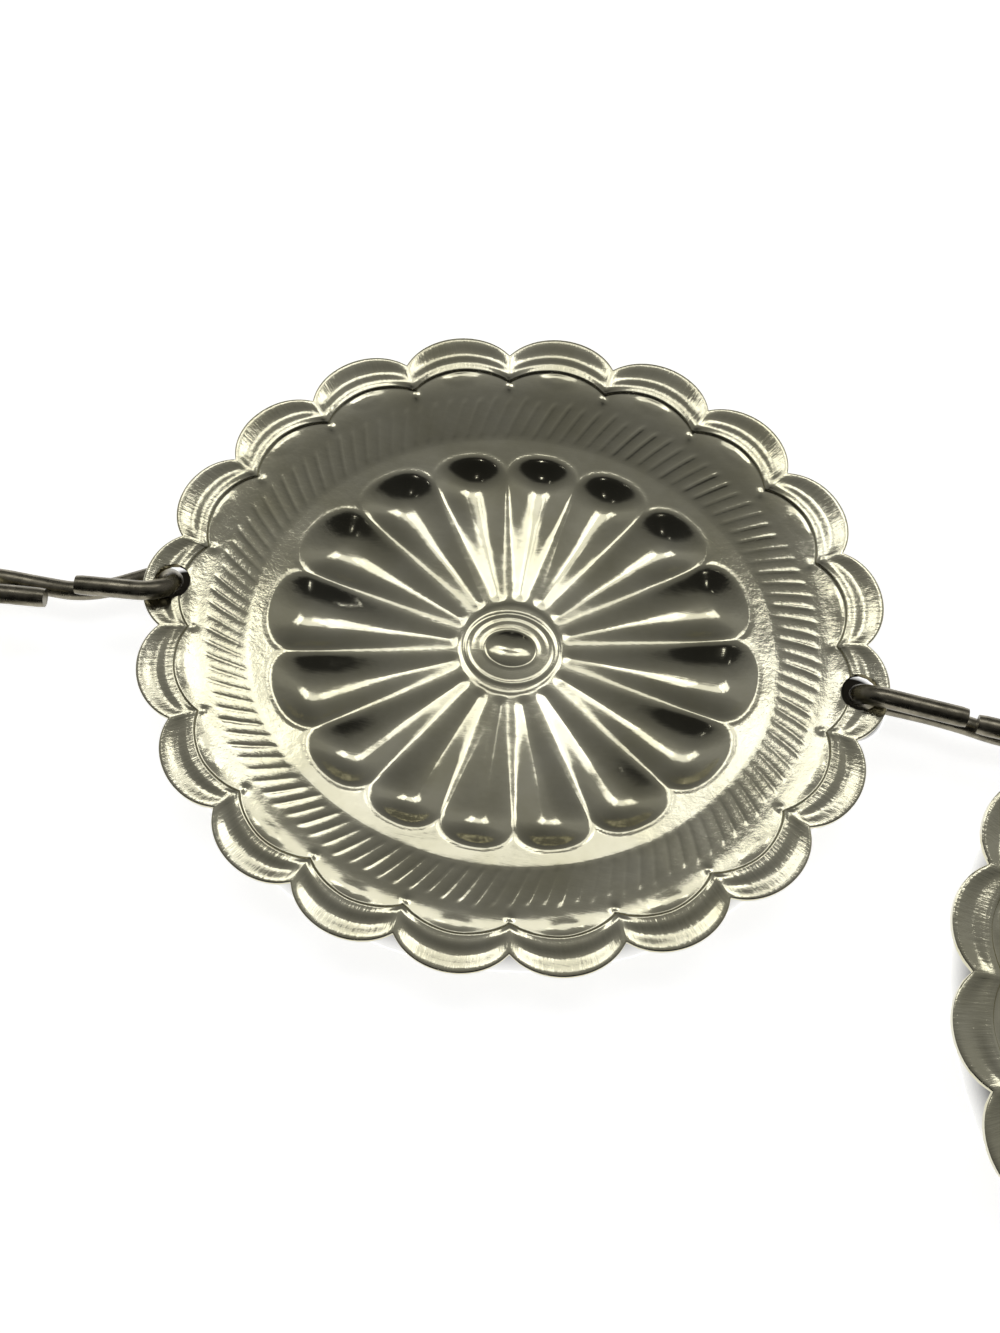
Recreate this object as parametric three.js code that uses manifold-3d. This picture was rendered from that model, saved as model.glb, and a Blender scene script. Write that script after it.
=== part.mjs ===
// Linked concho belt, laid out as a closed ring with the hollow side of every concho up.
// Units are millimetres, +Z is up and the belt rests on the plane z = 0.
import * as THREE from "three";
import { mergeVertices } from "three/addons/utils/BufferGeometryUtils.js";
import Module from "manifold-3d";

const wasm = await Module();
wasm.setup();

// Belt
const conchoCount = 10;
const photographedConcho = 5;
const clearance = 0.3;

// Concho sheet and its scalloped rim
const conchoLength = 76.2;
const conchoWidth = 68;
const sheetThickness = 0.8;
const scallopCount = 20;
const scallopRise = 2.3;
const grooveInset = 2.1;
const grooveDepth = 0.4;
const crestInset = 3.75;
const crestHeight = 0.2;

// Bowl, petals and the boss in its middle, all seen from the hollow side
const bowlDepth = 4.5;
const petalCount = 16;
const petalTipInset = 12.8;
const petalValleyInset = 15.1;
const petalDepth = 1.5;
const ridgeHeight = 0.2;
const bossLength = 9.3;
const bossWidth = 7.6;
const bossRingHeight = 0.2;
const eyeLength = 4.6;
const eyeWidth = 3.8;
const eyeDepth = 0.75;
const bossMargin = 1.1;

// Punched end holes and the wire links through them
const holeDiameter = 3.7;
const holeInset = 2.9;
const wireDiameter = 2;
const linkPitch = 21.4;
const linkEyeRadius = 2.6;
const linkSplit = 1.4;
const linkPinch = 0.7;
const linkLean = 20;

// Hook that closes the belt
const hookPitch = 27;
const hookReach = 8;
const hookFlare = 1.3;

// Facets of the round forms
const scallopFacets = 4;
const holeSides = 8;
const wireSides = 5;
const bossFacets = 8;
const wireBendFacets = 4;

// Where along each petal its floor is deepest, from the outer end to the boss
const petalFloorShare = 0.26;
// How far round from its middle each rounded petal end keeps its full reach
const petalShoulderShare = 0.36;

// The belt's bends next to the photographed concho, in degrees. A row is one connector, counted
// from the photographed concho in the direction +X: leave is the bend at the hole where the
// connector starts, arrive the bend at the hole where it ends, lean its roll about its own line.
const placedConnectors = [
  { connector: 0, leave: 5.9, arrive: 37.4, lean: 12 },
  { connector: conchoCount - 1, leave: 17, arrive: 10.8, lean: 38 },
];

const silver = { color: 0xb9b6a4, roughness: 0.22, metalness: 1 };
const wireMetal = { color: 0x6f6d62, roughness: 0.3, metalness: 1 };

const holeX = conchoLength / 2 - holeInset;
const degree = Math.PI / 180;

// Plan point on the concho's outer oval, drawn in by an inset.
function ovalPoint(inset, angle) {
  const x = (conchoLength / 2 - inset) * Math.cos(angle);
  const y = (conchoWidth / 2 - inset) * Math.sin(angle);
  return new THREE.Vector2(x, y);
}

// Angle to give ovalPoint for a point that lies in a true plan direction from the middle.
function ovalAngle(direction) {
  return Math.atan2(conchoLength * Math.sin(direction), conchoWidth * Math.cos(direction));
}

function smallOvalPoint(length, width, angle) {
  return new THREE.Vector2((length / 2) * Math.cos(angle), (width / 2) * Math.sin(angle));
}

// Height of the plain bowl below the rim at a plan point.
function bowlHeight(point) {
  const shareX = point.x / (conchoLength / 2 - crestInset);
  const shareY = point.y / (conchoWidth / 2 - crestInset);
  const share = shareX * shareX + shareY * shareY;
  return share < 1 ? -bowlDepth * (1 - share) : 0;
}

// Points of one scallop's arc from its first notch on, without its last notch.
function scallopArc(scallop) {
  const step = (2 * Math.PI) / scallopCount;
  const first = ovalPoint(scallopRise, (scallop - 0.5) * step);
  const last = ovalPoint(scallopRise, (scallop + 0.5) * step);
  const middle = first.clone().add(last).multiplyScalar(0.5);
  const halfChord = last.clone().sub(first).multiplyScalar(0.5);
  const rise = ovalPoint(0, scallop * step).sub(middle);
  const halfAngle = 2 * Math.atan(rise.length() / halfChord.length());
  const points = [];
  for (let facet = 0; facet < scallopFacets; facet += 1) {
    const angle = halfAngle * ((2 * facet) / scallopFacets - 1);
    const along = Math.sin(angle) / Math.sin(halfAngle);
    const out = (Math.cos(angle) - Math.cos(halfAngle)) / (1 - Math.cos(halfAngle));
    const offset = halfChord.clone().multiplyScalar(along).addScaledVector(rise, out);
    points.push(middle.clone().add(offset));
  }
  return points;
}

// Hollow face of a concho as one open, triangulated surface.
class SheetFace {
  constructor() {
    this.vertices = [];
    this.triangles = [];
  }

  add(point, height) {
    this.vertices.push(new THREE.Vector3(point.x, point.y, height));
    return { index: this.vertices.length - 1, angle: Math.atan2(point.y, point.x) };
  }

  // Triangles from one corner to every side of a loop of corners.
  fan(centre, loop) {
    loop.forEach((corner, i) => {
      const next = loop[(i + 1) % loop.length];
      this.triangles.push([centre.index, corner.index, next.index]);
    });
  }

  // Band between two closed rings of corners, each in order of its angle.
  stitch(outer, inner) {
    const turnTo = (ring, i) => {
      const corner = ring[i % ring.length];
      const start = ring[0].angle;
      const turn = (corner.angle - start + 4 * Math.PI) % (2 * Math.PI);
      return start + (i >= ring.length ? 2 * Math.PI : turn);
    };
    let i = 0;
    let j = 0;
    while (i < outer.length || j < inner.length) {
      const outerNext = i < outer.length ? turnTo(outer, i + 1) : Infinity;
      const innerNext = j < inner.length ? turnTo(inner, j + 1) : Infinity;
      const a = outer[i % outer.length].index;
      const b = inner[j % inner.length].index;
      if (outerNext <= innerNext) {
        i += 1;
        this.triangles.push([a, outer[i % outer.length].index, b]);
      } else {
        j += 1;
        this.triangles.push([b, a, inner[j % inner.length].index]);
      }
    }
  }
}

function ring(count, corner) {
  return Array.from({ length: count }, (unused, i) => corner(i));
}

// Rim with one crescent groove in each scallop. Returns the outline and the ring inside it.
function addRim(face) {
  const step = (2 * Math.PI) / scallopCount;
  const arcs = ring(scallopCount, (i) => scallopArc(i).map((p) => face.add(p, 0)));
  const inner = [];
  for (let i = 0; i < scallopCount; i += 1) {
    const notch = ovalPoint(scallopRise + crestInset * 0.8, (i - 0.5) * step);
    const crest = ovalPoint(crestInset, i * step);
    inner.push(face.add(notch, bowlHeight(notch) + crestHeight));
    inner.push(face.add(crest, bowlHeight(crest) + crestHeight));
  }
  for (let i = 0; i < scallopCount; i += 1) {
    const groove = face.add(ovalPoint(grooveInset, i * step), -grooveDepth);
    const next = (i + 1) % scallopCount;
    const loop = [...arcs[i], arcs[next][0], inner[2 * next], inner[2 * i + 1], inner[2 * i]];
    face.fan(groove, loop);
  }
  return { outline: arcs.flat(), inner };
}

// Scooped petals, evenly spread in plan, with a raised ridge between neighbours. Returns the
// inner ends of the ridges.
function addPetals(face, outerRing) {
  const step = (2 * Math.PI) / petalCount;
  const edge = [];
  const valleys = [];
  const tips = [];
  for (let i = 0; i < petalCount; i += 1) {
    const valleyAngle = ovalAngle((i - 0.5) * step);
    const valley = ovalPoint(petalValleyInset, valleyAngle);
    const tip = smallOvalPoint(bossLength + 2 * bossMargin, bossWidth + 2 * bossMargin, valleyAngle);
    valleys.push(face.add(valley, bowlHeight(valley) + ridgeHeight));
    tips.push(face.add(tip, bowlHeight(tip) + ridgeHeight));
    const shoulders = [-petalShoulderShare, petalShoulderShare].map((share) => {
      const point = ovalPoint(petalTipInset, ovalAngle((i + share / 2) * step));
      return face.add(point, bowlHeight(point));
    });
    edge.push([valleys[i], ...shoulders]);
  }
  face.stitch(outerRing, edge.flat());
  for (let i = 0; i < petalCount; i += 1) {
    const next = (i + 1) % petalCount;
    const outerEnd = ovalPoint(petalTipInset, ovalAngle(i * step));
    const innerEnd = smallOvalPoint(bossLength, bossWidth, ovalAngle(i * step));
    const floorPoint = outerEnd.lerp(innerEnd, petalFloorShare);
    const floor = face.add(floorPoint, bowlHeight(floorPoint) - petalDepth);
    face.fan(floor, [...edge[i], valleys[next], tips[next], tips[i]]);
  }
  return tips;
}

// Raised oval ring round a sunken eye with a flat floor.
function addBoss(face, petalTips) {
  const step = (2 * Math.PI) / bossFacets;
  const crest = ring(bossFacets, (i) => {
    const point = smallOvalPoint(bossLength, bossWidth, (i - 0.5) * step);
    return face.add(point, bossRingHeight - bowlDepth);
  });
  const eye = ring(bossFacets, (i) => {
    const point = smallOvalPoint(eyeLength, eyeWidth, (i - 0.5) * step);
    return face.add(point, -eyeDepth - bowlDepth);
  });
  face.stitch(petalTips, crest);
  face.stitch(crest, eye);
  for (let i = 1; i < eye.length - 1; i += 1) {
    face.triangles.push([eye[0].index, eye[i].index, eye[i + 1].index]);
  }
}

// Closed sheet between a hollow face and its copy one thickness below.
function thickSheet(face, outline) {
  const count = face.vertices.length;
  const positions = [];
  face.vertices.forEach((v) => positions.push(v.x, v.y, v.z));
  face.vertices.forEach((v) => positions.push(v.x, v.y, v.z - sheetThickness));
  const indices = [];
  face.triangles.forEach(([a, b, c]) => {
    indices.push(a, b, c);
    indices.push(a + count, c + count, b + count);
  });
  outline.forEach((corner, i) => {
    const a = corner.index;
    const b = outline[(i + 1) % outline.length].index;
    indices.push(a, a + count, b + count);
    indices.push(a, b + count, b);
  });
  const geometry = new THREE.BufferGeometry();
  geometry.setAttribute("position", new THREE.Float32BufferAttribute(positions, 3));
  geometry.setIndex(indices);
  return geometry;
}

function solidOf(geometry) {
  const bare = geometry.clone();
  bare.deleteAttribute("normal");
  bare.deleteAttribute("uv");
  const merged = mergeVertices(bare, 1e-4);
  return new wasm.Manifold(
    new wasm.Mesh({
      numProp: 3,
      vertProperties: merged.attributes.position.array,
      triVerts: new Uint32Array(merged.index.array),
    }),
  );
}

function geometryOf(solid) {
  const mesh = solid.getMesh();
  const geometry = new THREE.BufferGeometry();
  geometry.setAttribute("position", new THREE.BufferAttribute(mesh.vertProperties, 3));
  geometry.setIndex(new THREE.BufferAttribute(mesh.triVerts, 1));
  return geometry;
}

// One stamped concho, its rim's upper face at z = 0 and its long axis along X.
function makeConchoGeometry() {
  const face = new SheetFace();
  const { outline, inner } = addRim(face);
  const petalTips = addPetals(face, inner);
  addBoss(face, petalTips);
  let solid = solidOf(thickSheet(face, outline));
  for (const side of [-1, 1]) {
    const punchLength = 4 * (sheetThickness + bowlDepth);
    const radius = holeDiameter / 2;
    const punch = new THREE.CylinderGeometry(radius, radius, punchLength, holeSides);
    punch.rotateX(Math.PI / 2);
    punch.translate(side * holeX, 0, 0);
    solid = solid.subtract(solidOf(punch));
  }
  return geometryOf(solid);
}

// Curve whose sections stand exactly at its chosen stations.
class StationCurve extends THREE.Curve {
  constructor(stations) {
    super();
    this.stations = stations;
  }

  getPointAt(share) {
    return this.stations[Math.round(share * (this.stations.length - 1))].clone();
  }

  getPoint(share) {
    return this.getPointAt(share);
  }

  getTangentAt(share) {
    const last = this.stations.length - 1;
    const i = Math.round(share * last);
    const after = this.stations[Math.min(i + 1, last)].clone();
    const here = this.stations[i];
    const before = this.stations[Math.max(i - 1, 0)];
    const ahead = after.sub(here).normalize();
    const behind = here.clone().sub(before).normalize();
    return ahead.add(behind).normalize();
  }
}

function wireAlong(stations) {
  const section = new THREE.Shape();
  for (let side = 0; side < wireSides; side += 1) {
    const angle = (side * 2 * Math.PI) / wireSides;
    const x = (wireDiameter / 2) * Math.cos(angle);
    const y = (wireDiameter / 2) * Math.sin(angle);
    if (side === 0) section.moveTo(x, y);
    else section.lineTo(x, y);
  }
  section.closePath();
  const options = {
    extrudePath: new StationCurve(stations),
    steps: stations.length - 1,
    bevelEnabled: false,
  };
  return geometryOf(solidOf(new THREE.ExtrudeGeometry(section, options)));
}

// Half circle of wire round an end hole, from the upper strand to the lower one or back.
function bendStations(centreX, side, fromTop) {
  const stations = [];
  for (let facet = 0; facet <= wireBendFacets; facet += 1) {
    const turn = (fromTop ? 0.5 - facet / wireBendFacets : facet / wireBendFacets - 0.5) * Math.PI;
    const x = centreX + side * linkEyeRadius * Math.cos(turn);
    stations.push(new THREE.Vector3(x, 0, linkEyeRadius * Math.sin(turn)));
  }
  return stations;
}

// Oval link split in the middle of its upper strand, its lower strand pinched in the middle.
function makeLinkGeometry() {
  const middle = linkPitch / 2;
  const splitHeight = linkEyeRadius - linkPinch / 3;
  return wireAlong([
    new THREE.Vector3(middle - linkSplit / 2, 0, splitHeight),
    ...bendStations(linkEyeRadius, -1, true),
    new THREE.Vector3(middle, 0, linkPinch - linkEyeRadius),
    ...bendStations(linkPitch - linkEyeRadius, 1, false),
    new THREE.Vector3(middle + linkSplit / 2, 0, splitHeight),
  ]);
}

// Hook with a closed eye at its first end and a flared open tip over its second.
function makeHookGeometry() {
  const eyeEnd = hookPitch / 2;
  return wireAlong([
    new THREE.Vector3(eyeEnd, 0, linkEyeRadius - linkPinch),
    ...bendStations(linkEyeRadius, -1, true),
    ...bendStations(hookPitch - linkEyeRadius, 1, false),
    new THREE.Vector3(hookPitch - hookReach * 0.7, 0, linkEyeRadius),
    new THREE.Vector3(hookPitch - hookReach, 0, linkEyeRadius + hookFlare),
  ]);
}

// Bend, lean and pitch of every connector for a trial pair of corrections to the free bends.
function connectorRows(cosineBend, sineBend) {
  const placed = new Map(placedConnectors.map((row) => [row.connector, row]));
  const placedBend = placedConnectors.reduce((sum, row) => sum + row.leave + row.arrive, 0);
  const freeEnds = 2 * (conchoCount - placedConnectors.length);
  const evenBend = (360 - placedBend) / freeEnds;
  const clasp = conchoCount - photographedConcho;
  return Array.from({ length: conchoCount }, (unused, i) => {
    const bendAt = (end) => {
      const turn = ((2 * i + end + 0.5) * Math.PI) / conchoCount;
      return evenBend + cosineBend * Math.cos(turn) + sineBend * Math.sin(turn);
    };
    const isClasp = i === clasp;
    const row = placed.get(i) ?? { leave: bendAt(0), arrive: bendAt(1), lean: linkLean };
    return { ...row, isClasp, pitch: isClasp ? hookPitch : linkPitch };
  });
}

// Walks once round the belt from the photographed concho. Returns each piece's place and the
// distance by which the belt's end misses its start.
function walkBelt(cosineBend, sineBend) {
  const here = new THREE.Vector2(holeX, 0);
  let heading = 0;
  const move = (distance) => {
    here.x += distance * Math.cos(heading);
    here.y += distance * Math.sin(heading);
  };
  const pieces = [{ kind: "concho", x: 0, y: 0, heading: 0 }];
  connectorRows(cosineBend, sineBend).forEach((row, i) => {
    heading -= row.leave * degree;
    pieces.push({ kind: row.isClasp ? "hook" : "link", x: here.x, y: here.y, heading, lean: row.lean });
    move(row.pitch);
    heading -= row.arrive * degree;
    if (i < conchoCount - 1) {
      move(holeX);
      pieces.push({ kind: "concho", x: here.x, y: here.y, heading });
      move(holeX);
    }
  });
  return { pieces, missX: here.x + holeX, missY: here.y };
}

// Corrections to the free bends that bring the belt's end back to its start.
function closeBelt() {
  const trialStep = 0.01;
  let cosineBend = 0;
  let sineBend = 0;
  for (let round = 0; round < 12; round += 1) {
    const base = walkBelt(cosineBend, sineBend);
    const byCosine = walkBelt(cosineBend + trialStep, sineBend);
    const bySine = walkBelt(cosineBend, sineBend + trialStep);
    const a = (byCosine.missX - base.missX) / trialStep;
    const b = (bySine.missX - base.missX) / trialStep;
    const c = (byCosine.missY - base.missY) / trialStep;
    const d = (bySine.missY - base.missY) / trialStep;
    const determinant = a * d - b * c;
    cosineBend -= (d * base.missX - b * base.missY) / determinant;
    sineBend -= (a * base.missY - c * base.missX) / determinant;
  }
  return walkBelt(cosineBend, sineBend).pieces;
}

// Height of a leaning link's line under the middle of the sheet it hangs on.
function linkDrop(lean) {
  const inside = linkEyeRadius - wireDiameter / 2 - clearance;
  const edge = linkEyeRadius - holeDiameter / 2;
  const reach = Math.sqrt(Math.max(inside * inside - edge * edge, 0));
  return Math.max(reach - sheetThickness / 2, 0) * Math.cos(lean * degree);
}

function numbered(kind, number) {
  return `${kind}_${String(number).padStart(2, "0")}`;
}

function addPiece(group, name, geometry, look, piece, height, roll) {
  const mesh = new THREE.Mesh(geometry, new THREE.MeshStandardMaterial(look));
  mesh.name = name;
  mesh.position.set(piece.x, piece.y, height);
  mesh.rotation.set(roll, 0, piece.heading, "ZYX");
  group.add(mesh);
}

function makeBelt() {
  const belt = new THREE.Group();
  const conchoGeometry = makeConchoGeometry();
  const linkGeometry = makeLinkGeometry();
  const hookGeometry = makeHookGeometry();
  const rimTop = bowlDepth + eyeDepth + sheetThickness;
  let number = photographedConcho;
  for (const piece of closeBelt()) {
    if (piece.kind === "concho") {
      addPiece(belt, numbered("concho", number), conchoGeometry, silver, piece, rimTop, 0);
      continue;
    }
    const height = rimTop - sheetThickness / 2 - linkDrop(piece.lean);
    const roll = piece.lean * degree;
    if (piece.kind === "hook") {
      addPiece(belt, "hook_clasp", hookGeometry, wireMetal, piece, height, roll);
    } else {
      addPiece(belt, numbered("link", number), linkGeometry, wireMetal, piece, height, roll);
    }
    number = (number % conchoCount) + 1;
  }
  const centre = new THREE.Box3().setFromObject(belt, true).getCenter(new THREE.Vector3());
  belt.position.set(-centre.x, -centre.y, 0);
  return belt;
}

export default makeBelt();
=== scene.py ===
"""Looks of the linked concho belt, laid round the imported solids. Lengths are in millimetres
unless a name says otherwise, and the finished meshes are scaled to metres."""
import math

import bpy
import numpy as np
from mathutils import Matrix, Vector


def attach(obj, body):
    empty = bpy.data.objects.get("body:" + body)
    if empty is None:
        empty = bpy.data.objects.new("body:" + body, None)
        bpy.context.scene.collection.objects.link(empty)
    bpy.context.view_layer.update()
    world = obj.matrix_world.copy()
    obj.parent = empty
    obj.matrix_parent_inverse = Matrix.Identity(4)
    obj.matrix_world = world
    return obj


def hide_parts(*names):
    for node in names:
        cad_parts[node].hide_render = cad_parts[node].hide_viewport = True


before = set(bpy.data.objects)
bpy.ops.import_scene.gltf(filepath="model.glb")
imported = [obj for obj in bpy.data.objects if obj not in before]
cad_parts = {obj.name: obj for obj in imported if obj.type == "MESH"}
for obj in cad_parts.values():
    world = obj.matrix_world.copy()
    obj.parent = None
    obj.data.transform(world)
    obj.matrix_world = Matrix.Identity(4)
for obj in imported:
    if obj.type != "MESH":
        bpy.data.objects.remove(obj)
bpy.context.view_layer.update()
MM = 0.001
RNG = np.random.default_rng(5)

# Belt, as in the solids
CONCHO_COUNT = 10
PHOTOGRAPHED = 5
HALF_LENGTH = 38.1
HALF_WIDTH = 34.0
SHEET = 0.8
RIM_TOP = 6.05
HOLE_X = 35.2
HOLE_RADIUS = 1.85
WIRE_RADIUS = 1.0
EYE_RADIUS = 2.6
LINK_DROP = 0.66

# Scalloped rim of a concho, as insets from its outer oval
SCALLOPS = 20
SCALLOP_RISE = 2.3
SCALLOP_TURN = math.radians(54.0)
CREST_INSET = 3.75
CREST_NOTCH_INSET = 5.25
CREST_POWER = 0.9
FIELD_START = 6.5
# Halvings in the search for a point's inset
HALVINGS = 44

# Profile of the rim, by its place between the outline, 0, and the crest's inner foot, 1: how far
# each part falls or climbs, and the places where it starts and ends
GROOVE_DEPTH = 0.32
GROOVE_FALL = (0.06, 0.52)
GROOVE_RISE = 0.17
GROOVE_CLIMB = (0.52, 0.80)
GROOVE_FADE = (0.84, 1.0)
GROOVE_POWER = 5
CREST_FALL = 0.16
CREST_SPAN = (0.82, 0.99)
CREST_STEP = 0.24
STEP_SPAN = (0.985, 1.035)
EDGE_DROP = 0.09
EDGE_SPAN = 0.05

# Swellings inside the crests and dots inside the notches
LENS_INSET = 4.65
LENS_HALF = (2.1, 0.8)
LENS_HEIGHT = 0.09
LENS_POWER = 1.3
DENT_DEPTH = 0.03
DENT_STEEPNESS = 5
DOT_INSET = 5.8
DOT_RADIUS = 0.62
DOT_HEIGHT = 0.13

# Slanted rays
RAYS = 6 * SCALLOPS
RAY_OUTER = 6.9
RAY_INNER = 10.7
RAY_MIDDLE = 0.5 * (RAY_OUTER + RAY_INNER)
RAY_SLANT = math.radians(3.8)
RAY_HALF_WIDTH = 0.36
RAY_ROUND = 0.3
RAY_HEIGHT = 0.075
RAY_FADE = 0.35
RAY_FADE_START = 8.0
# Shift of each ray's outer end and inner end, and its share of the height
RAY_JITTER = np.stack([
    RNG.uniform(-0.2, 0.2, RAYS),
    RNG.uniform(-0.15, 0.2, RAYS),
    RNG.uniform(0.65, 1.2, RAYS),
], axis=-1)

# Petals. A start, the tip and the widest place are insets from the outer oval, and a span is a
# range of distances outward from the petals' inner ends
LAND_START = 11.1
PETALS = 16
PETAL_TIP = 12.85
PETAL_WIDEST = 17.0
TIP_ROUND = 0.35
PETAL_LENGTH = 14.0
PETAL_GAP = 0.12
LEAST_HALF_WIDTH = 0.05
PETAL_POWER = 2.3
PETAL_DEPTH = 1.15
WALL_CURVE = 0.35
SPOON_DEPTH = 0.45
SPOON_SPAN = (9.0, 15.0)
KEEL_ROUND = 0.14
KEEL_WIDENING = 0.26
KEEL_SPAN = (7.0, 16.0)
BROW_WIDTH = 0.75
BROW_LIMITS = (0.10, 0.42)
LIP_HEIGHT = 0.07
LIP_PLACE = 1.07
LIP_HALF_WIDTH = 0.11
LIP_SPAN = (11.0, 15.0)
HEEL_HALF = np.array([5.2, 4.95])
HEEL_DEPTH = 0.20
HEEL_LENGTH = 1.2
INNER_START = 21.0

# Boss and its eye. An edge, a surround, a scoop, a middle and a place are shares of the boss's or
# the eye's half size, and the bar's are millimetres
MOAT_DEPTH = 0.12
MOAT_EDGE = (0.93, 1.05)
BOSS_HALF = np.array([4.6, 3.75])
BOSS_SURROUND = 1.75
BOSS_DOME = 0.12
EYE_HALF = np.array([2.75, 2.0])
EYE_DEPTH = 0.50
EYE_SCOOP = 0.93
EYE_MIDDLE = 0.03
BAR_HEIGHT = 0.03
BAR_MIDDLE = -0.05
BAR_HALF = (1.9, 0.24)
RING_ROWS = {
    "boss_edge": {"place": 1.0, "half_width": 0.10, "height": 0.11},
    "upper_arc": {"place": 0.81, "half_width": 0.07, "height": 0.04},
    "eye_edge": {"place": 1.0, "half_width": 0.13, "height": 0.07},
}
# Places up the boss between which its upper arc fades in
ARC_SPAN = (-0.1, 0.6)

# Unevenness of the sheet: wavelengths, and about how high the five waves of each are together
WAVE_ROWS = ((26.0, 0.06), (11.0, 0.030), (5.0, 0.008), (2.4, 0.0018))
WAVES_EACH = 5
# Each single wave has its row's height over this
WAVE_DIVISOR = 2.2

# Slope of the bowl down towards its middle, by inset from the outer oval, and the heights that it
# adds up to
SLOPE_ROWS = np.array([
    (0.0, 0.0),
    (3.75, 0.02),
    (4.8, 0.17),
    (6.4, 0.36),
    (10.6, 0.38),
    (11.3, 0.205),
    (15.0, 0.20),
    (17.0, 0.07),
    (24.0, 0.045),
    (34.0, 0.0),
])
BOWL_INSETS = np.linspace(0.0, HALF_WIDTH, 1361)
BOWL_SLOPES = np.interp(BOWL_INSETS, SLOPE_ROWS[:, 0], SLOPE_ROWS[:, 1])
BOWL_FALLS = np.cumsum((BOWL_SLOPES[1:] + BOWL_SLOPES[:-1]) / 2) * BOWL_INSETS[1]
BOWL_HEIGHTS = -np.concatenate([[0.0], BOWL_FALLS])

# One row for each kind of face: places of its columns across a ray, places of the rows of the rim
# and of the shoulder inside it, gap between the petals' rows, and how many rows lie up to the boss
# and over it
FACE_KINDS = {
    "fine": {
        "across_ray": (0, .24, .37, .5, .63, .76),
        "rim": (0, .02, .05, .10, .16, .22, .28, .34, .40, .46, .52, .58, .64, .70, .76, .81, .86,
                .91, .95, .98, 1),
        "shoulder": (.012, .026, .05, .09, .14, .20, .28, .37, .48, .60, .74, .88),
        "gap": 0.22,
        "to_boss": 10,
        "boss": 40,
    },
    "plain": {
        "across_ray": (0, .31, .5, .69),
        "rim": (0, .05, .16, .26, .36, .46, .56, .66, .76, .85, .92, .985),
        "shoulder": (.02, .07, .18, .34, .56, .80),
        "gap": 0.45,
        "to_boss": 6,
        "boss": 20,
    },
    "under": {
        "across_ray": (0, .5),
        "rim": (0, .16, .36, .56, .76, .90),
        "shoulder": (.02, .14, .40, .74),
        "gap": 0.55,
        "to_boss": 6,
        "boss": 16,
    },
}
# Gaps between the rows of the rays and between those nearer the boss, as shares of that gap, and
# the gap in millimetres before the first row of the rays
RAY_GAP_SHARE = 1.2
INNER_GAP_SHARE = 2.0
FIRST_RAY_GAP = 0.1
# Edges sharper than this are shaded as edges
SHARP_ANGLE = math.radians(60)

# Where the marks of wear lie: places across the rim, along the concho and by inset
RIM_MARK_FADE = (0.95, 1.1)
END_MARK_SPAN = (0.45, 0.95)
END_MARK_FADE = (14.0, 16.0)

# Wire, the share to which its cut ends are drawn in, and the nicks that its bending left
WIRE_SIDES = 20
WIRE_END = 0.93
NICKS = 14
NICK_DEPTH = (0.04, 0.1)
NICK_HALF = {"around": 0.7, "along": 0.35}
# Steps from one point of a wire's path to the next, and points in a half circle round a hole
PATH_STEPS = 6
BEND_POINTS = 7

# One row for each kind of link, the two in the photo first, by the number of the concho before
# them: its lean in degrees, where its upper strand's two ends lie, how far these twist apart and
# droop, and how far the lower strand's middle lies above and beside a straight one
LINK_ROWS = {
    4: {
        "lean": 38, "first_cut": 8.8, "second_cut": 12.1,
        "twist": -1.4, "droop": 0.1, "pinch": 0.7, "bow": 1.3,
    },
    5: {
        "lean": 12, "first_cut": 10.2, "second_cut": 11.3,
        "twist": 0.3, "droop": 0.25, "pinch": 0.7, "bow": 0.0,
    },
    "plain": {
        "lean": 20, "first_cut": 10.0, "second_cut": 11.4,
        "twist": 0.2, "droop": 0.25, "pinch": 0.7, "bow": 0.0,
    },
}
LINK_PITCH = 21.4
# Bend part-way along a link's cut strands: shares of their length and twist, and how low it lies
BEND_PLACE = 0.6
BEND_TWIST = 0.2
BEND_DROP = 0.1
# The lower strand's bends to each side of its middle
LOWER_SIDE = 3.4
LOWER_SWAY = 0.12
LOWER_BOW = 0.8
LOWER_PINCH = 0.25

# Hook: where its eye's end and the bend before it lie, as shares of the pitch, and how low
HOOK_END = (0.42, 0.9)
HOOK_BEND = (0.3, 0.1)
# How far before the second hole its lip starts, and where its tip ends and how high
HOOK_LIP = 5.6
HOOK_TIP = (8.0, 1.3)

# Looks of the two metals: the ranges of their tints and roughness
SILVER_TINTS = ((0.60, 0.57, 0.40), (0.76, 0.73, 0.57))
SILVER_ROUGHNESS = (0.09, 0.17)
WIRE_TINTS = ((0.17, 0.155, 0.115), (0.34, 0.31, 0.235))
WIRE_ROUGHNESS = (0.20, 0.40)
# How the noise of their marks is stretched: a concho's nicks across its rings and its scratches at
# a turn, and the wire's drawing lines
NICK_STRETCH = (1.0, 1.0, 0.12)
SCRATCH_STRETCH = (1.0, 14.0, 1.0)
SCRATCH_TURN = 0.5
DRAWING_STRETCH = (0.15, 1.0, 1.0)

# Camera fitted to the photo, by its place from the photographed concho's rim and its axes
CAMERA_OFFSET = (11.84, -48.63, 141.44)
CAMERA_RIGHT = (0.9835, 0.1788, -0.0276)
CAMERA_BACK = (0.0817, -0.3029, 0.9495)
SENSOR_WIDTH = 36.0
FOCAL_LENGTH = 1493.0 / 1000.0 * SENSOR_WIDTH
CLIP_START = 5.0
CLIP_END = 20000.0

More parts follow.
